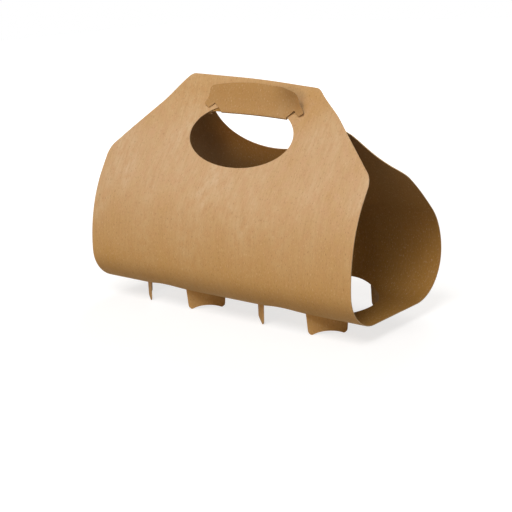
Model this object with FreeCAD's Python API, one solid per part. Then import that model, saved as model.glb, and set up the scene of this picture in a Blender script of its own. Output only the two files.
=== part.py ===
"""Cup carrier for two cups, folded from one die-cut sheet of brown kraft card.

The sheet is a loop: a flat bottom with two cup holes, a front and a back panel that bulge out
and meet at the top, and an oval hand hole. A tongue cut from the back panel goes through the
hand hole and folds up over the front panel, which locks the loop. Four tabs at each cup hole
are folded down, and the carrier stands on their ends.

X runs along the row of cups, -Y is the front, Z is up. Sizes are in millimetres.
"""

import FreeCAD
import Part

import math
import os

V = FreeCAD.Vector

# The card
CARD = 0.5                  # thickness of the kraft card
LAYER_GAP = 0.3             # air between layers that lie on each other at the handle

# The loop, as its centre line in the YZ plane
LENGTH = 213.0              # along the row of cups, the width of the sheet
DEPTH = 97.0                # front to back over the bulging panels
HEIGHT = 145.0              # tab ends to the top edge
TOP_SHIFT = 4.2             # the top edge leans back by this much from the middle
FRONT_CORNER_R = 22.0       # bottom to front panel
FRONT_BULGE_R = 100.0       # front panel above its widest point
BACK_CORNER_R = 28.5        # bottom to back panel
BACK_BULGE_R = 40.0         # back panel above its widest point
BACK_SLOPE = 41.0           # back panel above the bulge, degrees from upright
BACK_SHORT = 4.0            # the back panel's top edge lies this much below the front's

# The panels' outline, down along the sheet from the top edge
TOP_WIDTH = 104.0
SHOULDER = 55.0             # top edge to the shoulders
TOP_CORNER_R = 7.0
SHOULDER_R = 9.0

# The hand hole, an oval in both panels; on the back panel it ends straight at the tongue's fold
HAND_HOLE_WIDTH = 83.0
HAND_HOLE_HEIGHT = 43.5
HAND_HOLE_TOP = 16.5        # top edge to the oval's highest point

# The tongue, cut from the back panel
TONGUE_FOLD = 24.0          # front panel's top edge to the fold
TONGUE_HEIGHT = 20.5
TONGUE_WIDTH = 77.0
TONGUE_END = 16.5           # height of its rounded ends above the fold
TONGUE_CORNER_R = 4.0
NECK_WIDTH = 54.0
NOTCH_IN = 5.5              # the notch beside each barb: in from the tongue's end
NOTCH_UP = 5.0              # and its height above the fold
BARB_OUT = 2.6              # how far a barb's tip stands out past the tongue's end
BARB_IN = 1.5               # its lowest corner: in from the tongue's end
BARB_UP = 1.8               # and its height above the fold
BARB_TIP = 4.0              # height of its tip
BARB_TIP_R = 1.0
BARB_TOP = 9.0
TONGUE_LIFT = 4.0           # degrees that the tongue stands off the front panel
FOLD_MARGIN = 0.5           # flat stretch of the back panel below the fold

# The cup holes and their tabs
CUP_PITCH = 97.5
CUP_ROW_SHIFT = -2.2        # the row of cups lies a little in front of the middle
CUP_HOLE_D = 75.0
TAB_DROP = 11.0             # underside of the card to the tab ends
TAB_ANGLE = 39.0            # width of a tab round the hole, degrees
TAB_TAPER = 3.0             # how much narrower it is at its free end, degrees
TAB_HOLLOW = 2.2            # depth of the curve in its free end
TAB_CORNER_R = 2.5
TABS_PER_HOLE = 4

OVERCUT = 3.0               # how far cutting shapes reach past the card
WRAP_STEP = 2.5             # spacing of the points that carry a flat outline onto the back panel


class CentreLine:
    """A bent sheet's centre line in the YZ plane, walked from one end as straights and arcs."""

    def __init__(self, start, heading):
        self.steps = []
        self.here = start
        self.heading = heading

    def straight(self, length):
        ahead = (math.cos(self.heading), math.sin(self.heading))
        self.steps.append((self.here, self.heading, length, 0.0))
        self.here = (self.here[0] + length * ahead[0], self.here[1] + length * ahead[1])

    def arc(self, radius, turn):
        """Turns left by a positive number of radians, right by a negative one."""
        self.steps.append((self.here, self.heading, radius * abs(turn), turn))
        self.here = self.on_step(self.steps[-1], radius * abs(turn))
        self.heading += turn

    def on_step(self, step, run, offset=0.0):
        """The point that lies run along a step and offset to its left."""
        start, heading, length, turn = step
        if turn == 0.0:
            y = start[0] + run * math.cos(heading)
            z = start[1] + run * math.sin(heading)
            end = heading
        else:
            radius = length / turn
            end = heading + run / radius
            y = start[0] + radius * (math.sin(end) - math.sin(heading))
            z = start[1] - radius * (math.cos(end) - math.cos(heading))
        return (y - offset * math.sin(end), z + offset * math.cos(end))

    def length(self):
        return sum(step[2] for step in self.steps)

    def back_from_end(self, distance):
        """The point that lies distance before the end of the line."""
        for step in reversed(self.steps):
            if distance <= step[2]:
                break
            distance -= step[2]
        return self.on_step(step, step[2] - distance)

    def side(self, offset):
        """Edges of the line shifted to its left by offset."""
        edges = []
        for step in self.steps:
            length, turn = step[2], step[3]
            ends = [self.on_step(step, run, offset) for run in (0.0, length / 2, length)]
            first, middle, last = [V(0, y, z) for y, z in ends]
            if turn == 0.0:
                edges.append(Part.LineSegment(first, last).toShape())
            else:
                edges.append(Part.Arc(first, middle, last).toShape())
        return edges

    def sheet(self, thickness, x_from, x_to):
        """The sheet of that thickness about the line, as a solid from x_from to x_to."""
        left = self.side(thickness / 2)
        right = self.side(-thickness / 2)
        first_end = Part.LineSegment(right[0].Vertexes[0].Point, left[0].Vertexes[0].Point)
        last_end = Part.LineSegment(left[-1].Vertexes[-1].Point, right[-1].Vertexes[-1].Point)
        edges = left + [last_end.toShape()] + right + [first_end.toShape()]
        outline = Part.Wire(Part.__sortEdges__(edges))
        face = Part.Face(outline)
        face.translate(V(x_from, 0, 0))
        return face.extrude(V(x_to - x_from, 0, 0))


def crossing(point_a, way_a, point_b, way_b):
    """How far along way_a from point_a the two lines cross, and how far along way_b."""
    dy = point_b[0] - point_a[0]
    dz = point_b[1] - point_a[1]
    base = way_a[0] * way_b[1] - way_a[1] * way_b[0]
    along_a = (dy * way_b[1] - dz * way_b[0]) / base
    along_b = (dy * way_a[1] - dz * way_a[0]) / base
    return along_a, along_b


# Where the loop's parts lie, worked out from the sizes above
HALF_DEPTH = (DEPTH - CARD) / 2
BOTTOM = TAB_DROP + CARD / 2
TOP = (TOP_SHIFT, HEIGHT)
FRONT_CENTRE = (FRONT_BULGE_R - HALF_DEPTH, BOTTOM + FRONT_CORNER_R)
BACK_CENTRE = (HALF_DEPTH - BACK_BULGE_R, BOTTOM + BACK_CORNER_R)
REACH = math.hypot(TOP[0] - FRONT_CENTRE[0], TOP[1] - FRONT_CENTRE[1])
TOUCH = (math.atan2(TOP[1] - FRONT_CENTRE[1], TOP[0] - FRONT_CENTRE[0])
         + math.acos(FRONT_BULGE_R / REACH))
FRONT_STRAIGHT = math.sqrt(REACH ** 2 - FRONT_BULGE_R ** 2)
LEAN = math.pi - TOUCH                              # the handle's lean from upright
DOWN = (-math.sin(LEAN), -math.cos(LEAN))           # down along the handle
OUT = (-math.cos(LEAN), math.sin(LEAN))             # square to the handle, to the front
LAYER = CARD + LAYER_GAP


def loop_line():
    """Front top edge, down the front, along the bottom and up the back to its top edge."""
    slope = math.radians(BACK_SLOPE)
    back_top = (TOP[0] - LAYER * OUT[0], TOP[1] - LAYER * OUT[1])
    bulge_end = (BACK_CENTRE[0] + BACK_BULGE_R * math.cos(slope),
                 BACK_CENTRE[1] + BACK_BULGE_R * math.sin(slope))
    up_slope = (-math.sin(slope), math.cos(slope))
    to_corner, down_to_corner = crossing(bulge_end, up_slope, back_top, DOWN)
    pressed = TONGUE_FOLD + FOLD_MARGIN
    tangent = down_to_corner - pressed
    turn = slope + LEAN
    line = CentreLine(TOP, math.atan2(DOWN[1], DOWN[0]))
    line.straight(FRONT_STRAIGHT)
    line.arc(FRONT_BULGE_R, LEAN)
    line.arc(FRONT_CORNER_R, math.pi / 2)
    line.straight(2 * HALF_DEPTH - FRONT_CORNER_R - BACK_CORNER_R)
    line.arc(BACK_CORNER_R, math.pi / 2)
    line.arc(BACK_BULGE_R, slope)
    line.straight(to_corner - tangent)
    line.arc(tangent / math.tan(turn / 2), -turn)
    line.straight(pressed - BACK_SHORT)
    return line


def rounded(before, corner, after, radius):
    """First, middle and last point of the arc that rounds a flat corner."""
    ways = []
    for other in (before, after):
        way = (other[0] - corner[0], other[1] - corner[1])
        size = math.hypot(*way)
        ways.append((way[0] / size, way[1] / size))
    half = math.acos(ways[0][0] * ways[1][0] + ways[0][1] * ways[1][1]) / 2
    reach = radius / math.tan(half)
    inward = (ways[0][0] + ways[1][0], ways[0][1] + ways[1][1])
    size = math.hypot(*inward)
    depth = radius / math.sin(half) - radius
    middle = (corner[0] + depth * inward[0] / size, corner[1] + depth * inward[1] / size)
    first = (corner[0] + reach * ways[0][0], corner[1] + reach * ways[0][1])
    last = (corner[0] + reach * ways[1][0], corner[1] + reach * ways[1][1])
    return [first, middle, last]


def shoulder_cut(side):
    """What the die takes off one end of a panel, drawn flat as (x, down the sheet)."""
    edge = LENGTH / 2
    below = (edge, 2 * SHOULDER)
    shoulder = (edge, SHOULDER)
    top_corner = (TOP_WIDTH / 2, 0.0)
    top_arc = rounded((0.0, 0.0), top_corner, shoulder, TOP_CORNER_R)
    shoulder_arc = rounded(top_corner, shoulder, below, SHOULDER_R)
    above = (top_arc[0][0], -OVERCUT)
    outside = (edge + OVERCUT, -OVERCUT)
    beside = (edge + OVERCUT, shoulder_arc[2][1])
    runs = [top_arc, [top_arc[2], shoulder_arc[0]], shoulder_arc, [shoulder_arc[2], beside],
            [beside, outside], [outside, above], [above, top_arc[0]]]
    return [[(side * x, s) for x, s in run] for run in runs]


def tongue_outline():
    """The tongue drawn flat as (x, distance from its fold), with a barb at each end."""
    end = TONGUE_WIDTH / 2
    notch = (end - NOTCH_IN, NOTCH_UP)
    barb = (end - BARB_IN, BARB_UP)
    barb_side = (end + BARB_OUT, BARB_TIP)
    waist = (end, BARB_TOP)
    top_end = (end, TONGUE_END)
    crown = (0.0, TONGUE_HEIGHT)
    corner = rounded(waist, top_end, crown, TONGUE_CORNER_R)
    half = [[(NECK_WIDTH / 2, 0.0), notch], [notch, barb],
            rounded(notch, barb, barb_side, BARB_TIP_R / 2),
            rounded(barb, barb_side, waist, BARB_TIP_R), [waist, corner[0]], corner]
    half[1][1] = half[2][0]
    half.insert(3, [half[2][2], half[3][0]])
    half.insert(5, [half[4][2], waist])
    other = [[(-x, d) for x, d in reversed(run)] for run in reversed(half)]
    top = [corner[2], crown, (-corner[2][0], corner[2][1])]
    base = [(-NECK_WIDTH / 2, 0.0), (NECK_WIDTH / 2, 0.0)]
    return half + [top] + other + [base]


def on_handle(x, down, out=0.0):
    """A point on the front panel's flat upper part."""
    return V(x, TOP[0] + down * DOWN[0] + out * OUT[0], TOP[1] + down * DOWN[1] + out * OUT[1])


def drawn_face(runs, place):
    """The face inside flat runs of two points, a straight, or three, an arc."""
    edges = []
    for run in runs:
        points = [place(x, s) for x, s in run]
        shape = Part.LineSegment(*points) if len(run) == 2 else Part.Arc(*points)
        edges.append(shape.toShape())
    return Part.Face(Part.Wire(edges))


def wrapped_face(runs, line):
    """Flat runs wrapped on the back panel and seen along Y, as a face in the XZ plane."""
    edges = []
    for run in runs:
        if len(run) == 2:
            flat = Part.LineSegment(*[V(x, s, 0) for x, s in run]).toShape()
            flat = flat.discretize(max(3, round(flat.Length / WRAP_STEP)))
        elif len(run) == 3:
            flat = Part.Arc(*[V(x, s, 0) for x, s in run]).toShape().discretize(5)
        else:
            flat = [V(x, s, 0) for x, s in run]
        curve = Part.BSplineCurve()
        curve.interpolate([V(point.x, 0, wrapped_height(line, point.y)) for point in flat])
        edges.append(curve.toShape())
    return Part.Face(Part.Wire(edges))


def wrapped_height(line, down):
    """Height of the back panel that far down the sheet from its top edge, or above it."""
    if down < 0:
        return line.here[1] - down
    return line.back_from_end(down)[1]


def front_cuts():
    """The shoulder cuts and the hand hole of the front panel."""
    through = V(0, *OUT) * (2 * CARD)
    cuts = []
    for side in (-1, 1):
        face = drawn_face(shoulder_cut(side), lambda x, s: on_handle(x, s, -CARD))
        cuts.append(face.extrude(through))
    centre_down = HAND_HOLE_TOP + HAND_HOLE_HEIGHT / 2
    centre = on_handle(0, centre_down, -CARD)
    end = on_handle(HAND_HOLE_WIDTH / 2, centre_down, -CARD)
    low = on_handle(0, centre_down + HAND_HOLE_HEIGHT / 2, -CARD)
    oval = Part.Ellipse(end, low, centre).toShape()
    cuts.append(Part.Face(Part.Wire([oval])).extrude(through))
    return cuts


def oval_below_fold(points=33):
    """The hand hole drawn flat on the back panel, ended straight at the tongue's fold."""
    centre = HAND_HOLE_TOP + HAND_HOLE_HEIGHT / 2 - BACK_SHORT
    fold = TONGUE_FOLD - BACK_SHORT
    start = math.asin((fold - centre) / (HAND_HOLE_HEIGHT / 2))
    edge = []
    for number in range(points):
        angle = start + (math.pi - 2 * start) * number / (points - 1)
        edge.append((HAND_HOLE_WIDTH / 2 * math.cos(angle),
                     centre + HAND_HOLE_HEIGHT / 2 * math.sin(angle)))
    return [edge, [edge[-1], edge[0]]]


def back_cuts(line, back_half):
    """The back panel's shoulder cuts, its hand hole and the notches the tongue's barbs leave."""
    fold = TONGUE_FOLD - BACK_SHORT
    leaves = [[(x, fold + d) for x, d in run] for run in tongue_outline()]
    cuts = []
    for runs in (shoulder_cut(-1), shoulder_cut(1), oval_below_fold(), leaves):
        face = wrapped_face(runs, line)
        face.translate(V(0, -DEPTH, 0))
        cuts.append(face.extrude(V(0, 2 * DEPTH, 0)).common(back_half))
    return cuts


def tongue():
    """The tongue: from the back panel round its fold, and up in front of the front panel."""
    lift = math.radians(TONGUE_LIFT)
    start = on_handle(0, TONGUE_FOLD - FOLD_MARGIN, -LAYER)
    line = CentreLine((start.y, start.z), math.atan2(DOWN[1], DOWN[0]))
    line.straight(FOLD_MARGIN)
    line.arc(LAYER, lift - math.pi)
    line.straight(TONGUE_HEIGHT)
    band = line.sheet(CARD, -LENGTH / 2, LENGTH / 2)
    foot = on_handle(0, TONGUE_FOLD)
    away = (-DOWN[0] * math.cos(lift) + OUT[0] * math.sin(lift),
            -DOWN[1] * math.cos(lift) + OUT[1] * math.sin(lift))
    square = (OUT[0] * math.cos(lift) + DOWN[0] * math.sin(lift),
              OUT[1] * math.cos(lift) + DOWN[1] * math.sin(lift))

    def place(x, d, out=0.0):
        return V(x, foot.y + d * away[0] + out * square[0], foot.z + d * away[1] + out * square[1])

    blade = drawn_face(tongue_outline(), place).extrude(V(0, *square) * (2 * LAYER))
    neck_low = [(-NECK_WIDTH / 2, -2 * LAYER), (NECK_WIDTH / 2, -2 * LAYER)]
    neck_high = [(NECK_WIDTH / 2, FOLD_MARGIN), (-NECK_WIDTH / 2, FOLD_MARGIN)]
    corners = neck_low + neck_high
    runs = [[corners[i], corners[(i + 1) % 4]] for i in range(4)]
    neck = drawn_face(runs, lambda x, d: on_handle(x, TONGUE_FOLD - d, -2 * LAYER))
    neck = neck.extrude(V(0, *OUT) * (4 * LAYER))
    return band.common(blade.fuse(neck))


def tab(centre_x, middle_angle, inside):
    """One tab of a cup hole: a strip of card that hangs down from the rim, its end hollow."""
    inner = CUP_HOLE_D / 2
    half_top = inner * math.radians(TAB_ANGLE / 2)
    half_end = inner * math.radians((TAB_ANGLE - TAB_TAPER) / 2)
    high = TAB_DROP + FRONT_CORNER_R
    corner = rounded((half_top, TAB_DROP), (half_end, 0.0), (0.0, TAB_HOLLOW), TAB_CORNER_R)
    half = [[(half_top, high), (half_top, TAB_DROP)], [(half_top, TAB_DROP), corner[0]], corner]
    other = [[(-x, z) for x, z in reversed(run)] for run in reversed(half)]
    hollow = [corner[2], (0.0, TAB_HOLLOW), (-corner[2][0], corner[2][1])]
    rim = [(-half_top, high), (half_top, high)]
    runs = half + [hollow] + other + [rim]
    face = drawn_face(runs, lambda x, z: V(x, 0, z))
    blade = face.extrude(V(0, -2 * inner, 0))
    ring = Part.makeCylinder(inner + CARD, high)
    ring = ring.cut(Part.makeCylinder(inner, high))
    strip = ring.common(blade)
    strip.rotate(V(0, 0, 0), V(0, 0, 1), middle_angle)
    strip.translate(V(centre_x, CUP_ROW_SHIFT, 0))
    return strip.cut(inside)


def carrier_sheet():
    """The whole folded sheet, one solid, stood on its tab ends."""
    line = loop_line()
    sheet = line.sheet(CARD, -LENGTH / 2, LENGTH / 2)
    for cut in front_cuts():
        sheet = sheet.cut(cut)
    corner = on_handle(0, -OVERCUT, -LAYER / 2)
    behind = [corner,
              on_handle(0, FRONT_STRAIGHT, -LAYER / 2),
              V(0, -HALF_DEPTH / 2, BOTTOM + BACK_CORNER_R),
              V(0, DEPTH, BOTTOM + BACK_CORNER_R),
              V(0, DEPTH, corner.z)]
    back_half = Part.Face(Part.makePolygon(behind + behind[:1]))
    back_half.translate(V(-LENGTH, 0, 0))
    back_half = back_half.extrude(V(2 * LENGTH, 0, 0))
    for cut in back_cuts(line, back_half):
        sheet = sheet.cut(cut)
    inside = inside_of_loop(line)
    pieces = [tongue()]
    for side in (-1, 1):
        centre_x = side * CUP_PITCH / 2
        hole = Part.makeCylinder(CUP_HOLE_D / 2, TAB_DROP + FRONT_CORNER_R)
        hole.translate(V(centre_x, CUP_ROW_SHIFT, 0))
        sheet = sheet.cut(hole)
        for number in range(TABS_PER_HOLE):
            angle = (number + 0.5) * 360.0 / TABS_PER_HOLE
            pieces.append(tab(centre_x, angle, inside))
    sheet = sheet.fuse(pieces).removeSplitter()
    sheet.translate(V(0, 0, -sheet.optimalBoundingBox(False).ZMin))
    return sheet


def inside_of_loop(line):
    """The room inside the lower half of the loop, down to the card's inner face."""
    lower = CentreLine((-HALF_DEPTH, BOTTOM + FRONT_CORNER_R), -math.pi / 2)
    lower.arc(FRONT_CORNER_R, math.pi / 2)
    lower.straight(2 * HALF_DEPTH - FRONT_CORNER_R - BACK_CORNER_R)
    lower.arc(BACK_CORNER_R, math.pi / 2)
    edges = lower.side(CARD / 2)
    first = edges[0].Vertexes[0].Point
    last = edges[-1].Vertexes[-1].Point
    high = BOTTOM + 2 * max(FRONT_CORNER_R, BACK_CORNER_R)
    corners = [last, V(0, last.y, high), V(0, first.y, high), first]
    for start, end in zip(corners, corners[1:]):
        edges.append(Part.LineSegment(start, end).toShape())
    face = Part.Face(Part.Wire(Part.__sortEdges__(edges)))
    face.translate(V(-LENGTH, 0, 0))
    return face.extrude(V(2 * LENGTH, 0, 0))


os.makedirs("parts", exist_ok=True)
solid = carrier_sheet()
box = solid.BoundBox
print("solids", len(solid.Solids), "valid", solid.isValid(), "volume", round(solid.Volume, 1))
print("box", [round(v, 2) for v in (box.XMin, box.XMax, box.YMin, box.YMax, box.ZMin, box.ZMax)])
print("flat blank", LENGTH, "by", round(loop_line().length(), 1), "mm")
solid.exportStep("parts/carrier_sheet.step")
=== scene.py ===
"""The looks of a kraft card carrier, folded from one die-cut sheet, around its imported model."""

import math

import bpy
from mathutils import Matrix, Vector


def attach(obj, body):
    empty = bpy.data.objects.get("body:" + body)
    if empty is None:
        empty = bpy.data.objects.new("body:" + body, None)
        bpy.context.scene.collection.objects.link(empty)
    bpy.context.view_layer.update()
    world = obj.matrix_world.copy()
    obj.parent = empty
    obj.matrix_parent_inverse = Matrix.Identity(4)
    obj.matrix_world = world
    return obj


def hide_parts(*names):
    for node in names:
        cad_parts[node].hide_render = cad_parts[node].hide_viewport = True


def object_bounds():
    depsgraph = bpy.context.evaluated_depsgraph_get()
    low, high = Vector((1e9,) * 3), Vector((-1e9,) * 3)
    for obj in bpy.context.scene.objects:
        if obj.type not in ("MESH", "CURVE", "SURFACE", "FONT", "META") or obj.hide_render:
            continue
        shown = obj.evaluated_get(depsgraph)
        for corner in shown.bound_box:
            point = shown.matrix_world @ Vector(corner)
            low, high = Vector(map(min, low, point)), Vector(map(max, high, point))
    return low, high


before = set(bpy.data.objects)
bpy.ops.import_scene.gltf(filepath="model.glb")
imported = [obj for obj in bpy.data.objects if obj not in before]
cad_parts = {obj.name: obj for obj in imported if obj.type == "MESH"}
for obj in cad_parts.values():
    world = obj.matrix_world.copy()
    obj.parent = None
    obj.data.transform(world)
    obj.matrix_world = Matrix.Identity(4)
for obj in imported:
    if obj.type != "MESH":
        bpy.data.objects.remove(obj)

cad_box = [list(corner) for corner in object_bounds()]
mm = 0.001

# The folded sheet: one blank of kraft board, die-cut flat and folded up into a loop of front
# panel, floor and back panel. It is made here in the same order: a flat plate is cut to outline
# and punched, then laid along the loop's side view.
CARD = 0.5 * mm
LAYER = 0.8 * mm                # from layer to layer at the handle
LENGTH = 213.0 * mm             # along the row of cup holes
HALF_DEPTH = 48.25 * mm
FLOOR = 11.25 * mm              # middle of the card, above the tab ends as drawn
TOP = (4.2 * mm, 145.0 * mm)    # the front's top edge in the side view
FRONT_CORNER_R = 22.0 * mm
FRONT_BULGE_R = 100.0 * mm
BACK_CORNER_R = 28.5 * mm
BACK_BULGE_R = 40.0 * mm
BACK_SLOPE = math.radians(41.0)
BACK_SHORT = 4.0 * mm           # the back panel's top edge lies lower than the front's
TOP_WIDTH = 104.0 * mm
SHOULDER = 55.0 * mm            # top edge to the shoulders
TOP_CORNER_R = 7.0 * mm
SHOULDER_R = 15.0 * mm
HAND_HOLE_WIDTH = 83.0 * mm
HAND_HOLE_HEIGHT = 43.5 * mm
HAND_HOLE_MIDDLE = 38.25 * mm   # down the sheet from the front's top edge
TONGUE_FOLD = 24.0 * mm         # top edge to the fold that the tongue turns round
FOLD_MARGIN = 0.5 * mm
CUP_PITCH = 97.5 * mm
CUP_ROW = -2.2 * mm
CUP_HOLE_R = 37.5 * mm
CELL = 2.5 * mm                 # cell of the plate, fine enough for its folds
CUTTER = 20.0 * mm              # height of the punches

front_centre = (FRONT_BULGE_R - HALF_DEPTH, FLOOR + FRONT_CORNER_R)
back_centre = (HALF_DEPTH - BACK_BULGE_R, FLOOR + BACK_CORNER_R)
reach = math.hypot(TOP[0] - front_centre[0], TOP[1] - front_centre[1])
lean = math.pi - (math.atan2(TOP[1] - front_centre[1], TOP[0] - front_centre[0])
                  + math.acos(FRONT_BULGE_R / reach))
down = (-math.sin(lean), -math.cos(lean))
out = (-math.cos(lean), math.sin(lean))
settle = TOP[1] + CARD / 2 * math.sin(lean) - cad_box[1][2]


def along(step, run):
    """Place and heading at run along one step of the side view."""
    y, z, heading, length, turn = step
    if turn == 0.0:
        return (y + run * math.cos(heading), z + run * math.sin(heading), heading)
    radius = length / turn
    end = heading + run / radius
    return (y + radius * (math.sin(end) - math.sin(heading)),
            z - radius * (math.cos(end) - math.cos(heading)), end)


def loop_steps():
    """The loop's side view as (y, z, heading, length, turn), from the front's top edge round."""
    slope_end = (back_centre[0] + BACK_BULGE_R * math.cos(BACK_SLOPE),
                 back_centre[1] + BACK_BULGE_R * math.sin(BACK_SLOPE))
    back_top = (TOP[0] - LAYER * out[0], TOP[1] - LAYER * out[1])
    up = (-math.sin(BACK_SLOPE), math.cos(BACK_SLOPE))
    dy = back_top[0] - slope_end[0]
    dz = back_top[1] - slope_end[1]
    base = up[0] * down[1] - up[1] * down[0]
    to_corner = (dy * down[1] - dz * down[0]) / base
    pressed = TONGUE_FOLD + FOLD_MARGIN
    tangent = (dy * up[1] - dz * up[0]) / base - pressed
    turn = BACK_SLOPE + lean
    soft = tangent / math.tan(turn / 2)
    parts = [(math.sqrt(reach ** 2 - FRONT_BULGE_R ** 2), 0.0),
             (FRONT_BULGE_R * lean, lean),
             (FRONT_CORNER_R * math.pi / 2, math.pi / 2),
             (2 * HALF_DEPTH - FRONT_CORNER_R - BACK_CORNER_R, 0.0),
             (BACK_CORNER_R * math.pi / 2, math.pi / 2),
             (BACK_BULGE_R * BACK_SLOPE, BACK_SLOPE),
             (to_corner - tangent, 0.0),
             (soft * turn, -turn),
             (pressed - BACK_SHORT, 0.0)]
    steps = []
    y, z = TOP
    heading = math.atan2(down[1], down[0])
    for length, turn in parts:
        steps.append((y, z, heading, length, turn))
        y, z, heading = along(steps[-1], length)
    return steps


loop = loop_steps()
SHEET = sum(step[3] for step in loop)
BACK_FOLD = SHEET + BACK_SHORT - TONGUE_FOLD    # the tongue's fold on the back panel

# Thin card takes a set when it is folded and carried: the handle is drawn to the front and to
# the right and leans, its middle is dished back, its top edge curls forward, and the back panel
# bellies below the fold
SET_REACH = 110.0 * mm          # down the sheet from the top edge
SET_RIGHT = 3.6 * mm
SET_FRONT = 7.5 * mm
SET_TWIST = 0.015               # further forward, per unit to the right
SET_LEAN = 0.037                # lower, per unit to the right
EDGE_REACH = 21.0 * mm          # and the same for the curl at the very top
EDGE_CURL = 3.0 * mm
EDGE_TWIST = 0.01
EDGE_LEAN = 0.028
DISH = 11.2 * mm                # back, in the middle
DISH_WIDTH = 53.3 * mm          # to either side, where half of it is left
DISH_REACH = 95.0 * mm          # down the sheet from the top edge
DISH_EDGE = 73.0 * mm           # length over which it fades there
BELLY_WIDTH = 60.0 * mm         # half the width over which the belly changes
BELLY_NEAR = 14.0 * mm          # below the fold, where the panel is fullest
BELLY_FAR = 40.0 * mm           # and where it draws in again
BELLY_FULL = 15.5 * mm          # how far it stands out there
BELLY_TILT = 1.8 * mm           # less of it at the right
BELLY_FADE = 6.2 * mm           # and at both ends
SLACK = -3.4 * mm               # how far it draws in there
SLACK_TILT = 1.8 * mm
SLACK_RISE = 2.5 * mm


def smooth(share):
    share = min(1.0, max(0.0, share))
    return share * share * (3.0 - 2.0 * share)


def set_of_handle(x, drop):
    """How far the set moves a point of either panel, drop down the sheet from the top edge."""
    share = smooth(1.0 - drop / SET_REACH)
    edge = smooth(1.0 - drop / EDGE_REACH)
    dished = DISH / (1.0 + (x / DISH_WIDTH) ** 2) * smooth((DISH_REACH - drop) / DISH_EDGE)
    forward = (SET_FRONT + SET_TWIST * x) * share + (EDGE_CURL + EDGE_TWIST * x) * edge
    return Vector((SET_RIGHT * share, dished - forward,
                   -(SET_LEAN * share + EDGE_LEAN * edge) * x))


def belly(x, drop):
    """How far the back panel stands out there beyond its even curve."""
    below = max(0.0, drop - TONGUE_FOLD - FOLD_MARGIN)
    near = below / BELLY_NEAR
    far = below / BELLY_FAR
    side = x / BELLY_WIDTH
    full = BELLY_FULL - BELLY_TILT * side - BELLY_FADE * side ** 2
    slack = SLACK - SLACK_TILT * side + SLACK_RISE * side ** 2
    return full * near * math.exp(1.0 - near) + slack * (far * math.exp(1.0 - far)) ** 2


def fold(x, s, outward):
    """A point of the flat sheet at (x, s down from the front's top edge), folded up."""
    drop = s
    if s > SHEET / 2:
        drop = SHEET + BACK_SHORT - s
        outward += belly(x, drop)
    for number, step in enumerate(loop):
        if s <= step[3] or number == len(loop) - 1:
            break
        s -= step[3]
    y, z, heading = along(step, s)
    y += outward * math.sin(heading)
    z -= outward * math.cos(heading)
    return Vector((x, y, z - settle)) + set_of_handle(x, drop)


def deselect():
    if bpy.context.object and bpy.context.object.mode == "EDIT":
        bpy.ops.object.mode_set(mode="OBJECT")
    bpy.ops.object.select_all(action="DESELECT")


def pick(piece):
    deselect()
    piece.select_set(True)
    bpy.context.view_layer.objects.active = piece


def plate(name, width, height, middle, cell):
    """A flat plate of small cells, lying in XY about middle."""
    deselect()
    bpy.ops.mesh.primitive_grid_add(x_subdivisions=round(width / cell), size=1.0,
                                    y_subdivisions=round(height / cell), location=middle)
    piece = bpy.context.object
    piece.name = name
    piece.scale = (width, height, 1.0)
    bpy.ops.object.transform_apply(location=True, rotation=True, scale=True)
    return piece


def trim(piece, point, away):
    """Cuts a flat piece off at a line through point, on the side that away points to."""
    pick(piece)
    bpy.ops.object.mode_set(mode="EDIT")
    bpy.ops.mesh.select_all(action="SELECT")
    bpy.ops.mesh.bisect(plane_co=(*point, 0.0), plane_no=(*away, 0.0), clear_outer=True)
    bpy.ops.object.mode_set(mode="OBJECT")


def round_corner(piece, corner, first, last, radius, cuts=6):
    """Rounds a flat corner between sides that face the angles first and last, by trims."""
    half = (last - first) / 2
    middle = (first + last) / 2
    back = radius / math.cos(half)
    centre = (corner[0] - back * math.cos(middle), corner[1] - back * math.sin(middle))
    for number in range(cuts):
        angle = first + (last - first) * (number + 0.5) / cuts
        away = (math.cos(angle), math.sin(angle))
        trim(piece, (centre[0] + radius * away[0], centre[1] + radius * away[1]), away)


def thicken(piece, thickness):
    solid = piece.modifiers.new("card", "SOLIDIFY")
    solid.thickness = thickness
    solid.offset = 0.0
    pick(piece)
    bpy.ops.object.modifier_apply(modifier=solid.name)


def punch(piece, cutter, operation="DIFFERENCE"):
    """Cuts piece with cutter, which is used up."""
    cut = piece.modifiers.new("punch", "BOOLEAN")
    cut.operation = operation
    cut.solver = "EXACT"
    cut.object = cutter
    pick(piece)
    bpy.ops.object.modifier_apply(modifier=cut.name)
    bpy.data.objects.remove(cutter)


def round_punch(width, height, middle, sides=120):
    deselect()
    bpy.ops.mesh.primitive_cylinder_add(vertices=sides, radius=0.5, depth=2 * CUTTER,
                                        location=middle)
    cutter = bpy.context.object
    cutter.scale = (width, height, 1.0)
    bpy.ops.object.transform_apply(location=True, rotation=True, scale=True)
    return cutter


def outline_punch(points):
    """A punch with this outline in XY."""
    mesh = bpy.data.meshes.new("punch")
    mesh.from_pydata([(x, y, -CUTTER / 2) for x, y in points], [], [range(len(points))])
    cutter = bpy.data.objects.new("punch", mesh)
    bpy.context.collection.objects.link(cutter)
    pick(cutter)
    bpy.ops.object.mode_set(mode="EDIT")
    bpy.ops.mesh.select_all(action="SELECT")
    bpy.ops.mesh.extrude_region_move(TRANSFORM_OT_translate={"value": (0, 0, CUTTER)})
    bpy.ops.mesh.select_all(action="SELECT")
    bpy.ops.mesh.normals_make_consistent(inside=False)
    bpy.ops.object.mode_set(mode="OBJECT")
    return cutter


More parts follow.
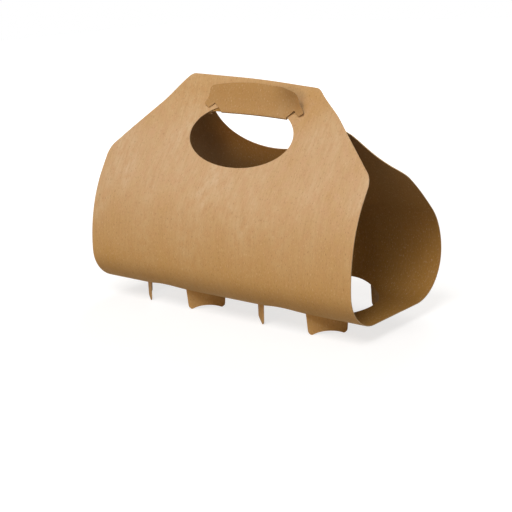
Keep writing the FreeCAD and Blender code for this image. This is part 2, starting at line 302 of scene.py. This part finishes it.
def keep_flat_map(piece, shift=(0.0, 0.0), painted_shade=0.0):
    """Stores each point's place on the flat sheet, which faces are cut or reverse, and how much
    painted shade, in the reverse's colour, the other faces get.
    """
    if not piece.data.uv_layers:
        piece.data.uv_layers.new(name="flat")
    piece.data.uv_layers[0].name = "flat"
    piece.data.attributes.new("cut_edge", "FLOAT", "CORNER")
    piece.data.attributes.new("reverse", "FLOAT", "CORNER")
    layer = piece.data.uv_layers["flat"]
    cut = piece.data.attributes["cut_edge"]
    reverse = piece.data.attributes["reverse"]
    for face in piece.data.polygons:
        is_cut = 1.0 if abs(face.normal.z) < 0.5 else 0.0
        # faces other than the reverse take the painted shade given, in the reverse's colour
        reverse_or_painted_shade = 1.0 if face.normal.z < -0.5 else painted_shade
        for corner in face.loop_indices:
            place = piece.data.vertices[piece.data.loops[corner].vertex_index].co
            layer.data[corner].uv = ((place.x + shift[0]) / LENGTH, (place.y + shift[1]) / LENGTH)
            cut.data[corner].value = is_cut
            reverse.data[corner].value = reverse_or_painted_shade


def bend(piece, place):
    """Moves each point of a flat piece to where place puts it."""
    for vertex in piece.data.vertices:
        vertex.co = place(*vertex.co)
    piece.data.update()


# The flat sheet hangs from y = 0 down, so that its face turns outwards when it is folded
panels = plate("kraft_panels", LENGTH, SHEET, (0.0, -SHEET / 2, 0.0), CELL)
quarter = math.pi / 2
slant = math.atan2(LENGTH / 2 - TOP_WIDTH / 2, SHOULDER)
for end in (1, -1):
    edge_y = 0.0 if end > 0 else -SHEET
    for side in (1, -1):
        facing = end * (slant if side > 0 else math.pi - slant)
        top_corner = (side * TOP_WIDTH / 2, edge_y)
        shoulder = (side * LENGTH / 2, edge_y - end * SHOULDER)
        sideways = 0.0 if side > 0 else end * math.pi
        trim(panels, top_corner, (math.cos(facing), math.sin(facing)))
        round_corner(panels, top_corner, facing, end * quarter, TOP_CORNER_R)
        round_corner(panels, shoulder, sideways, facing, SHOULDER_R)
thicken(panels, CARD)

# The tongue: cut out of the back panel, it comes through the hand hole, turns round the front
# panel's edge and lies up against the front, where its two barbs catch behind the hole's upper
# corners. Its right end has curled off the panel.
TONGUE_HEIGHT = 20.5 * mm
TONGUE_WIDTH = 77.0 * mm
TONGUE_END = 16.5 * mm
TONGUE_CORNER_R = 4.0 * mm
NECK_WIDTH = 54.0 * mm
NOTCH_IN = 5.5 * mm
NOTCH_UP = 5.0 * mm
BARB_OUT = 2.6 * mm
BARB_IN = 1.5 * mm
BARB_UP = 1.8 * mm
BARB_TIP = 4.0 * mm
BARB_TIP_R = 1.0 * mm
BARB_TOP = 9.0 * mm
CROWN_STEPS = 8                 # to either side of its end's highest point
NECK_DROP = 5 * LAYER           # the neck's reach down behind the front panel
PLATE_SPARE = 1.1               # size of the tongue's plate against what is cut from it
PLATE_DROP = 0.4 * NECK_DROP    # how far the plate's middle lies below the tongue's
TONGUE_CELL = 1.0 * mm          # fine enough for the tight fold
TONGUE_LIFT = math.radians(2.5)
TONGUE_SHIFT = 3.6 * mm         # the back panel's top has slid to the right by this much
CURL = 7.5 * mm                 # of the right end, at the height of its upper corner
CURL_WIDTH = 30.0 * mm
CURL_POWER = 1.5
CURL_TAKE_UP = 0.56             # how much of its height a curled end loses
TONGUE_PAINTED_SHADE = 0.62            # painted shade for its tilted face, as a share of the reverse's colour


def rounded(before, corner, after, radius, steps=5):
    """Points on the arc that rounds a corner between two straight sides."""
    corner = Vector(corner)
    back = (Vector(before) - corner).normalized()
    ahead = (Vector(after) - corner).normalized()
    half = back.angle(ahead) / 2
    run = radius / math.tan(half)
    centre = corner + (back + ahead).normalized() * radius / math.sin(half)
    start = corner + back * run - centre
    end = corner + ahead * run - centre
    points = []
    for number in range(steps + 1):
        arm = start.lerp(end, number / steps).normalized() * radius
        points.append(tuple(centre + arm))
    return points


def tongue_outline(base_y):
    """The tongue's outline in XY, up from its fold at base_y."""
    end = TONGUE_WIDTH / 2
    notch = (end - NOTCH_IN, NOTCH_UP)
    barb = (end - BARB_IN, BARB_UP)
    tip = (end + BARB_OUT, BARB_TIP)
    waist = (end, BARB_TOP)
    crown = (0.0, TONGUE_HEIGHT)
    half = [(NECK_WIDTH / 2, 0.0), notch]
    half += rounded(notch, barb, tip, BARB_TIP_R / 2)
    half += rounded(barb, tip, waist, BARB_TIP_R)
    half.append(waist)
    half += rounded(waist, (end, TONGUE_END), crown, TONGUE_CORNER_R)
    edge = half[-1]
    for number in range(1, CROWN_STEPS + 1):
        x = edge[0] * (1 - number / CROWN_STEPS)
        rise = (TONGUE_HEIGHT - edge[1]) * (1 - (x / edge[0]) ** 2)
        half.append((x, edge[1] + rise))
    other = [(-x, d) for x, d in reversed(half[:-1])]
    return [(x, base_y + d) for x, d in half + other]


def fold_tongue(x, d, n):
    """A point of the flat tongue, d up from its fold, brought round the front's edge."""
    if d < 0:
        angle = min(-d / LAYER, math.pi)
        off = (LAYER + n) * math.cos(angle)
        rise = -(LAYER + n) * math.sin(angle) + max(0.0, -d - math.pi * LAYER)
        drop = TONGUE_FOLD
    else:
        curl = CURL * smooth((x - TONGUE_WIDTH / 2 + CURL_WIDTH) / CURL_WIDTH)
        off = LAYER + n + d * math.sin(TONGUE_LIFT) + curl * (d / TONGUE_END) ** CURL_POWER
        shortening = CURL_TAKE_UP * curl ** 2 * d ** 2 / TONGUE_END ** 3
        rise = d * math.cos(TONGUE_LIFT) - shortening
        drop = TONGUE_FOLD - rise
    y = TOP[0] + (TONGUE_FOLD - rise) * down[0] + off * out[0]
    z = TOP[1] + (TONGUE_FOLD - rise) * down[1] + off * out[1]
    x += TONGUE_SHIFT
    return Vector((x, y, z - settle)) + set_of_handle(x, drop)


# Both panels are punched for the hand; the back one keeps the tongue's fold as a straight edge
punch(panels, round_punch(HAND_HOLE_WIDTH, HAND_HOLE_HEIGHT, (0.0, -HAND_HOLE_MIDDLE, 0.0)))
back_middle = SHEET + BACK_SHORT - HAND_HOLE_MIDDLE
back_oval = round_punch(HAND_HOLE_WIDTH, HAND_HOLE_HEIGHT, (0.0, -back_middle, 0.0))
pick(back_oval)
bpy.ops.object.mode_set(mode="EDIT")
bpy.ops.mesh.select_all(action="SELECT")
bpy.ops.mesh.bisect(plane_co=(0.0, -BACK_FOLD, 0.0), plane_no=(0.0, -1.0, 0.0),
                    clear_outer=True, use_fill=True)
bpy.ops.object.mode_set(mode="OBJECT")
punch(panels, back_oval)
punch(panels, outline_punch(tongue_outline(-BACK_FOLD)))
keep_flat_map(panels)
bend(panels, lambda x, y, n: fold(x, -y, n))

tongue = plate("kraft_tongue", PLATE_SPARE * TONGUE_WIDTH,
               PLATE_SPARE * TONGUE_HEIGHT + NECK_DROP,
               (0.0, 0.5 * TONGUE_HEIGHT - PLATE_DROP, 0.0), TONGUE_CELL)
thicken(tongue, CARD)
neck = [(NECK_WIDTH / 2, -NECK_DROP), (-NECK_WIDTH / 2, -NECK_DROP)]
punch(tongue, outline_punch(neck[:1] + tongue_outline(0.0) + neck[1:]), "INTERSECT")
keep_flat_map(tongue, (0.0, -BACK_FOLD), TONGUE_PAINTED_SHADE)
bend(tongue, fold_tongue)

# The tabs under the floor: four at each cup hole, cut with the blank and folded straight down
# at the rim. Their free ends are hollow between rounded corners, and the carrier stands on
# those corners.
TAB_ANGLE = math.radians(39.0)
TAB_TAPER = math.radians(3.0)
TAB_HOLLOW = 2.2 * mm
TAB_CORNER_R = 2.5 * mm
TAB_ROOT = 0.02                 # share of its length by which a tab reaches into the rim
TABS_PER_HOLE = 4
CUP_HOLE_SIDES = 128
HOLLOW_SIDES = 256
tab_width = CUP_HOLE_R * TAB_ANGLE
tab_drop = FLOOR - settle
narrow = CUP_HOLE_R * TAB_TAPER / 2

for side in (-1, 1):
    middle = (side * CUP_PITCH / 2, CUP_ROW, FLOOR)
    punch(panels, round_punch(2 * CUP_HOLE_R, 2 * CUP_HOLE_R, middle, CUP_HOLE_SIDES))

tab = plate("kraft_tab", tab_width, (1.0 + TAB_ROOT) * tab_drop,
            (0.0, (TAB_ROOT - 1.0) / 2 * tab_drop, 0.0), CELL / 2)
tilt = math.atan2(narrow, tab_drop)
for side in (1, -1):
    facing = -tilt if side > 0 else tilt - math.pi
    corner = (side * (tab_width / 2 - narrow), -tab_drop)
    trim(tab, (side * tab_width / 2, 0.0), (math.cos(facing), math.sin(facing)))
    round_corner(tab, corner, facing, -quarter, TAB_CORNER_R)
thicken(tab, CARD)
chord = tab_width / 2 - narrow - TAB_CORNER_R
hollow_r = (chord ** 2 + TAB_HOLLOW ** 2) / (2 * TAB_HOLLOW)
hollow_middle = (0.0, TAB_HOLLOW - hollow_r - tab_drop, 0.0)
punch(tab, round_punch(2 * hollow_r, 2 * hollow_r, hollow_middle, HOLLOW_SIDES))


def floor_height(y):
    """Height of the card's middle at y, up from the flat floor into the corners."""
    front = -HALF_DEPTH + FRONT_CORNER_R
    back = HALF_DEPTH - BACK_CORNER_R
    if y < front:
        return FLOOR + FRONT_CORNER_R - math.sqrt(FRONT_CORNER_R ** 2 - (front - y) ** 2)
    if y > back:
        return FLOOR + BACK_CORNER_R - math.sqrt(BACK_CORNER_R ** 2 - (y - back) ** 2)
    return FLOOR


def hang_tab(name, centre_x, middle):
    """A copy of the flat tab, wrapped round a cup hole's rim at the angle middle."""
    deselect()
    piece = bpy.data.objects.new(name, tab.data.copy())
    bpy.context.collection.objects.link(piece)

    def place(x, y, n):
        angle = middle + x / CUP_HOLE_R
        radius = CUP_HOLE_R + CARD / 2 + n
        px = centre_x + radius * math.cos(angle)
        py = CUP_ROW + radius * math.sin(angle)
        share = max(0.0, 1.0 + y / tab_drop)
        z = FLOOR + y + (floor_height(py) - FLOOR) * share
        return Vector((px, py, z - settle))

    on_blank = (centre_x + CUP_HOLE_R * math.cos(middle), LENGTH * math.sin(middle))
    keep_flat_map(piece, on_blank)
    bend(piece, place)
    return piece


tabs = []
for side in (-1, 1):
    for number in range(TABS_PER_HOLE):
        angle = (number + 0.5) * 2 * math.pi / TABS_PER_HOLE
        name = "kraft_tab_" + ("left" if side < 0 else "right") + "_" + str(number + 1)
        tabs.append(hang_tab(name, side * CUP_PITCH / 2, angle))
bpy.data.objects.remove(tab)

# The sheet is one piece of card again: panels, tongue and tabs are joined, the faces turned
# outwards and shaded smooth over the soft bends, with the cut edges left crisp.
CRISP_ANGLE = math.radians(35.0)
pick(panels)
for piece in [tongue] + tabs:
    piece.select_set(True)
bpy.ops.object.join()
sheet = bpy.context.object
sheet.name = "kraft_sheet"
bpy.ops.object.mode_set(mode="EDIT")
bpy.ops.mesh.select_all(action="SELECT")
bpy.ops.mesh.normals_make_consistent(inside=False)
bpy.ops.object.mode_set(mode="OBJECT")
bpy.ops.object.shade_smooth_by_angle(angle=CRISP_ANGLE)


def linear(code):
    """A linear colour from an sRGB hex code."""
    values = [int(code[i:i + 2], 16) / 255 for i in (1, 3, 5)]
    return [v / 12.92 if v <= 0.04045 else ((v + 0.055) / 1.055) ** 2.4 for v in values] + [1.0]


def node(tree, kind, settings=(), links=()):
    """Adds a node: settings are (input or attribute, value), links (input, other's output)."""
    new = tree.nodes.new(kind)
    for key, value in dict(settings).items():
        if isinstance(key, int) or key in new.inputs:
            new.inputs[key].default_value = value
        else:
            setattr(new, key, value)
    for key, output in dict(links).items():
        tree.links.new(output, new.inputs[key])
    return new


# Kraft board: unbleached, uncoated brown board, rolled smooth on the paper machine. It looks
# matte and warm, a little cloudy where the pulp lies thicker, with faint streaks and single
# fibres along the rolling direction. Its reverse is more ochre, and is made darker still as
# painted shade for the dim inside of the loop; part of that colour is painted on the tongue's
# face as shade for its forward tilt. Its cut edges are paler. Towards the floor it turns darker
# ochre as painted shade, and up at the handle it is more ochre.
KRAFT = "#D0B796"
KRAFT_CLOUD = "#C19D6F"
KRAFT_BLOTCH = "#C7A47F"
KRAFT_STREAK = "#B08A5C"
# the reverse's more ochre colour, made darker as painted shade for the inside of the loop and the
# tongue
KRAFT_REVERSE_AND_SHADE = "#986D28"
# ochre, laid on as painted shade towards the floor and as a tint up at the handle
KRAFT_OCHRE = "#BA8F48"
FIBRE_DARK = "#80592F"
FIBRE_PALE = "#E0C7A4"
CUT_EDGE = "#CFB189"
CLOUD_SIZE = 34.0               # millimetres on the sheet, as are the sizes below
BLOTCH_SIZE = 5.0
STREAK_WIDTH = 1.5              # real streaks are finer, but would not show in a picture
STREAK_LENGTH = 16.0
FIBRE_WIDTH = 0.7               # a real fibre is 0.03 wide, drawn as coarse as it needs to show
FIBRE_LENGTH = 1.8
TOOTH = 0.45
# painted shade: darker, warmer ochre from the first height down to the second
LOW_SHADE_FROM = 85.0 * mm         # heights above the tab ends
LOW_SHADE_TO = 28.0 * mm
# more ochre from the first height up to the second
TOP_OCHRE_FROM = 112.0 * mm
TOP_OCHRE_TO = 138.0 * mm
WAVE_SIZE = 26.0
LOW_SHADE_SHARE = 0.7              # how much of its own colour each of these lays on the card
TOP_OCHRE_SHARE = 0.4
REVERSE_AND_SHADE_SHARE = 0.85
STREAK_SHARE = 0.4
FIBRE_DARK_SHARE = 0.55
FIBRE_PALE_SHARE = 0.45
GLOSS = 0.3
ROUGH_LEAST = 0.68
ROUGH_MOST = 0.82
TOOTH_DEPTH = 0.06 * mm
WAVE_DEPTH = 0.35 * mm
kraft = bpy.data.materials.new("kraft_board")
kraft.use_nodes = True
tree = kraft.node_tree
shader = tree.nodes["Principled BSDF"]
shader.inputs["Specular IOR Level"].default_value = GLOSS

# The helpers from here on add their nodes to tree, the node tree at hand
flat = node(tree, "ShaderNodeUVMap", {"uv_map": "flat"})
on_sheet = node(tree, "ShaderNodeMapping", {"Scale": (LENGTH / mm, LENGTH / mm, 1.0)},
                {"Vector": flat.outputs["UV"]})


def card_noise(across, lengthwise, detail, offset=0.0):
    """Noise on the flat sheet whose patches are this many millimetres wide and long."""
    stretch = node(tree, "ShaderNodeMapping",
                   {"Scale": (1 / across, 1 / lengthwise, 1.0), "Location": (offset, offset, 0.0)},
                   {"Vector": on_sheet.outputs[0]})
    return node(tree, "ShaderNodeTexNoise", {"Scale": 1.0, "Detail": detail, "Roughness": 0.55},
                {"Vector": stretch.outputs[0]}).outputs["Fac"]


def spread(value, low, high, bottom=0.0, top=1.0):
    """Stretches the values between low and high to run from bottom to top."""
    return node(tree, "ShaderNodeMapRange",
                {"From Min": low, "From Max": high, "To Min": bottom, "To Max": top},
                {"Value": value}).outputs["Result"]


def tint(under, code, amount):
    """Lays a colour over the colours under it, by amount."""
    mixed = node(tree, "ShaderNodeMix", {"data_type": "RGBA", 7: linear(code)},
                 {0: amount, 6: under})
    return mixed.outputs[2]


def marked(name):
    return node(tree, "ShaderNodeAttribute", {"attribute_name": name}).outputs["Fac"]


clouds = card_noise(CLOUD_SIZE, 1.6 * CLOUD_SIZE, 3.0)
blotches = card_noise(BLOTCH_SIZE, 1.5 * BLOTCH_SIZE, 3.0, 3.0)
streaks = card_noise(STREAK_WIDTH, STREAK_LENGTH, 3.0, 5.0)
dark_fibres = card_noise(FIBRE_WIDTH, FIBRE_LENGTH, 1.0, 11.0)
pale_fibres = card_noise(FIBRE_WIDTH, FIBRE_LENGTH, 1.0, 23.0)
tooth = card_noise(TOOTH, 2 * TOOTH, 2.0, 31.0)
waves = card_noise(WAVE_SIZE, 2 * WAVE_SIZE, 1.0, 41.0)

face = node(tree, "ShaderNodeMix", {"data_type": "RGBA", 6: linear(KRAFT),
                                    7: linear(KRAFT_CLOUD)}, {0: spread(clouds, 0.3, 0.7)})
colour = tint(face.outputs[2], KRAFT_BLOTCH, spread(blotches, 0.4, 0.65))
height = node(tree, "ShaderNodeSeparateXYZ", (),
              {0: node(tree, "ShaderNodeTexCoord").outputs["Object"]}).outputs["Z"]
# painted shade: darker, warmer ochre towards the floor, where less light falls
low = spread(height, LOW_SHADE_TO, LOW_SHADE_FROM, LOW_SHADE_SHARE, 0.0)
colour = tint(colour, KRAFT_OCHRE, low)
# more ochre towards the top edge
high = spread(height, TOP_OCHRE_FROM, TOP_OCHRE_TO, 0.0, TOP_OCHRE_SHARE)
colour = tint(colour, KRAFT_OCHRE, high)
# the reverse's colour, also painted shade: darker than the real reverse for the dim inside of the
# loop, and laid on the tongue's face
inside = spread(marked("reverse"), 0.0, 1.0, 0.0, REVERSE_AND_SHADE_SHARE)
colour = tint(colour, KRAFT_REVERSE_AND_SHADE, inside)
colour = tint(colour, KRAFT_STREAK, spread(streaks, 0.45, 0.8, 0.0, STREAK_SHARE))
colour = tint(colour, FIBRE_DARK, spread(dark_fibres, 0.6, 0.8, 0.0, FIBRE_DARK_SHARE))
colour = tint(colour, FIBRE_PALE, spread(pale_fibres, 0.6, 0.8, 0.0, FIBRE_PALE_SHARE))
colour = tint(colour, CUT_EDGE, marked("cut_edge"))
tree.links.new(colour, shader.inputs["Base Color"])
roughness = spread(streaks, 0.3, 0.7, ROUGH_LEAST, ROUGH_MOST)
tree.links.new(roughness, shader.inputs["Roughness"])

fine_bump = node(tree, "ShaderNodeBump", {"Strength": 0.35, "Distance": TOOTH_DEPTH},
                 {"Height": tooth})
wavy_bump = node(tree, "ShaderNodeBump", {"Strength": 1.0, "Distance": WAVE_DEPTH},
                 {"Height": waves, "Normal": fine_bump.outputs[0]})
tree.links.new(wavy_bump.outputs[0], shader.inputs["Normal"])
sheet.data.materials.clear()
sheet.data.materials.append(kraft)

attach(sheet, "root")
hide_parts("carrier_sheet")

# The studio: a white paper floor that runs out of sight into a white background. The paper's
# own grey takes the light and the soft shadow, and a glow that only the view sees whitens it,
# the more so further out, where the lamps no longer reach.
FLOOR_SIZE = 6.0
FLOOR_PAPER = "#A0A0A0"
PAPER_ROUGHNESS = 0.9
FLOOR_GLOW = 0.72
FAR_GLOW = 0.95
GLOW_FROM = 0.2                 # metres from the middle of the floor
GLOW_TO = 0.75
AMBIENT = 0.2
AMBIENT_TONE = "#FFEBD0"
deselect()
bpy.ops.mesh.primitive_plane_add(size=FLOOR_SIZE, location=(0.0, 0.0, 0.0))
floor = bpy.context.object
floor.name = "studio_floor"
white = bpy.data.materials.new("studio_paper")
white.use_nodes = True
floor.data.materials.append(white)


def seen_directly(tree):
    """1 for what the camera sees, also in a gloss or through something clear, otherwise 0."""
    path = node(tree, "ShaderNodeLightPath")
    straight = node(tree, "ShaderNodeMath", {"operation": "MAXIMUM"},
                    {0: path.outputs["Is Camera Ray"], 1: path.outputs["Is Glossy Ray"]})
    through = node(tree, "ShaderNodeMath", {"operation": "MAXIMUM"},
                   {0: straight.outputs[0], 1: path.outputs["Is Transmission Ray"]})
    return through.outputs[0]


tree = white.node_tree
paper = tree.nodes["Principled BSDF"]
paper.inputs["Base Color"].default_value = linear(FLOOR_PAPER)
paper.inputs["Roughness"].default_value = PAPER_ROUGHNESS
paper.inputs["Emission Color"].default_value = linear("#FFFFFF")
place = node(tree, "ShaderNodeTexCoord")
far = node(tree, "ShaderNodeVectorMath", {"operation": "LENGTH"}, {0: place.outputs["Object"]})
strength = spread(far.outputs["Value"], GLOW_FROM, GLOW_TO, FLOOR_GLOW, FAR_GLOW)
glow = node(tree, "ShaderNodeMath", {"operation": "MULTIPLY"},
            {0: seen_directly(tree), 1: strength})
tree.links.new(glow.outputs[0], paper.inputs["Emission Strength"])

world = bpy.data.worlds.new("studio")
bpy.context.scene.world = world
world.use_nodes = True
tree = world.node_tree
tree.nodes.clear()
ambient = node(tree, "ShaderNodeBackground", {"Color": linear(AMBIENT_TONE), "Strength": AMBIENT})
backdrop = node(tree, "ShaderNodeBackground", {"Color": linear("#FFFFFF"), "Strength": 1.0})
mix = node(tree, "ShaderNodeMixShader", (),
           {0: seen_directly(tree), 1: ambient.outputs[0], 2: backdrop.outputs[0]})
node(tree, "ShaderNodeOutputWorld", (), {"Surface": mix.outputs[0]})

# The lamps: a broad soft light from the front and high above, a weaker one from behind for the
# back panel, and a weak warm one low in front, as light comes back off a table.
LAMP_SIZE = 0.8
LIT_POINT = (0.0, 0.0, 0.07)


def lamp(name, place, power, tone="#FFFFFF"):
    data = bpy.data.lights.new(name, "AREA")
    data.shape = "SQUARE"
    data.size = LAMP_SIZE
    data.energy = power
    data.color = linear(tone)[:3]
    holder = bpy.data.objects.new(name, data)
    holder.location = place
    aim = Vector(LIT_POINT) - Vector(place)
    holder.rotation_euler = aim.to_track_quat("-Z", "Y").to_euler()
    bpy.context.collection.objects.link(holder)


lamp("key_light", (0.28, -0.95, 1.35), 18.7)
lamp("back_light", (-0.6, 1.15, 1.0), 9.0)
lamp("table_light", (0.1, -1.2, 0.15), 4.0, "#FFCF8C")

# The camera: a short telephoto, level with the carrier's upper part and turned to its right
# end, with the picture rolled a little.
AZIMUTH = math.radians(40.83)
ROLL = math.radians(-3.05)
FOCAL_PIXELS = 1070.1
IMAGE_PIXELS = 512
SENSOR_WIDTH = 36.0             # millimetres
camera_place = Vector((0.4371, -0.50915, 0.20977))
camera_target = Vector((0.00589, -0.01004, 0.03432))
ahead = (camera_target - camera_place).normalized()
level = Vector((math.cos(AZIMUTH), math.sin(AZIMUTH), 0.0))
above = level.cross(ahead)
right = math.cos(ROLL) * level + math.sin(ROLL) * above
above = right.cross(ahead)
camera = bpy.data.cameras.new("camera")
camera.sensor_width = SENSOR_WIDTH
camera.lens = FOCAL_PIXELS * SENSOR_WIDTH / IMAGE_PIXELS
holder = bpy.data.objects.new("camera", camera)
turned = Matrix((right, above, -ahead)).transposed().to_4x4()
holder.matrix_world = Matrix.Translation(camera_place) @ turned
bpy.context.collection.objects.link(holder)
bpy.context.scene.camera = holder
bpy.context.scene.view_settings.view_transform = "Standard"
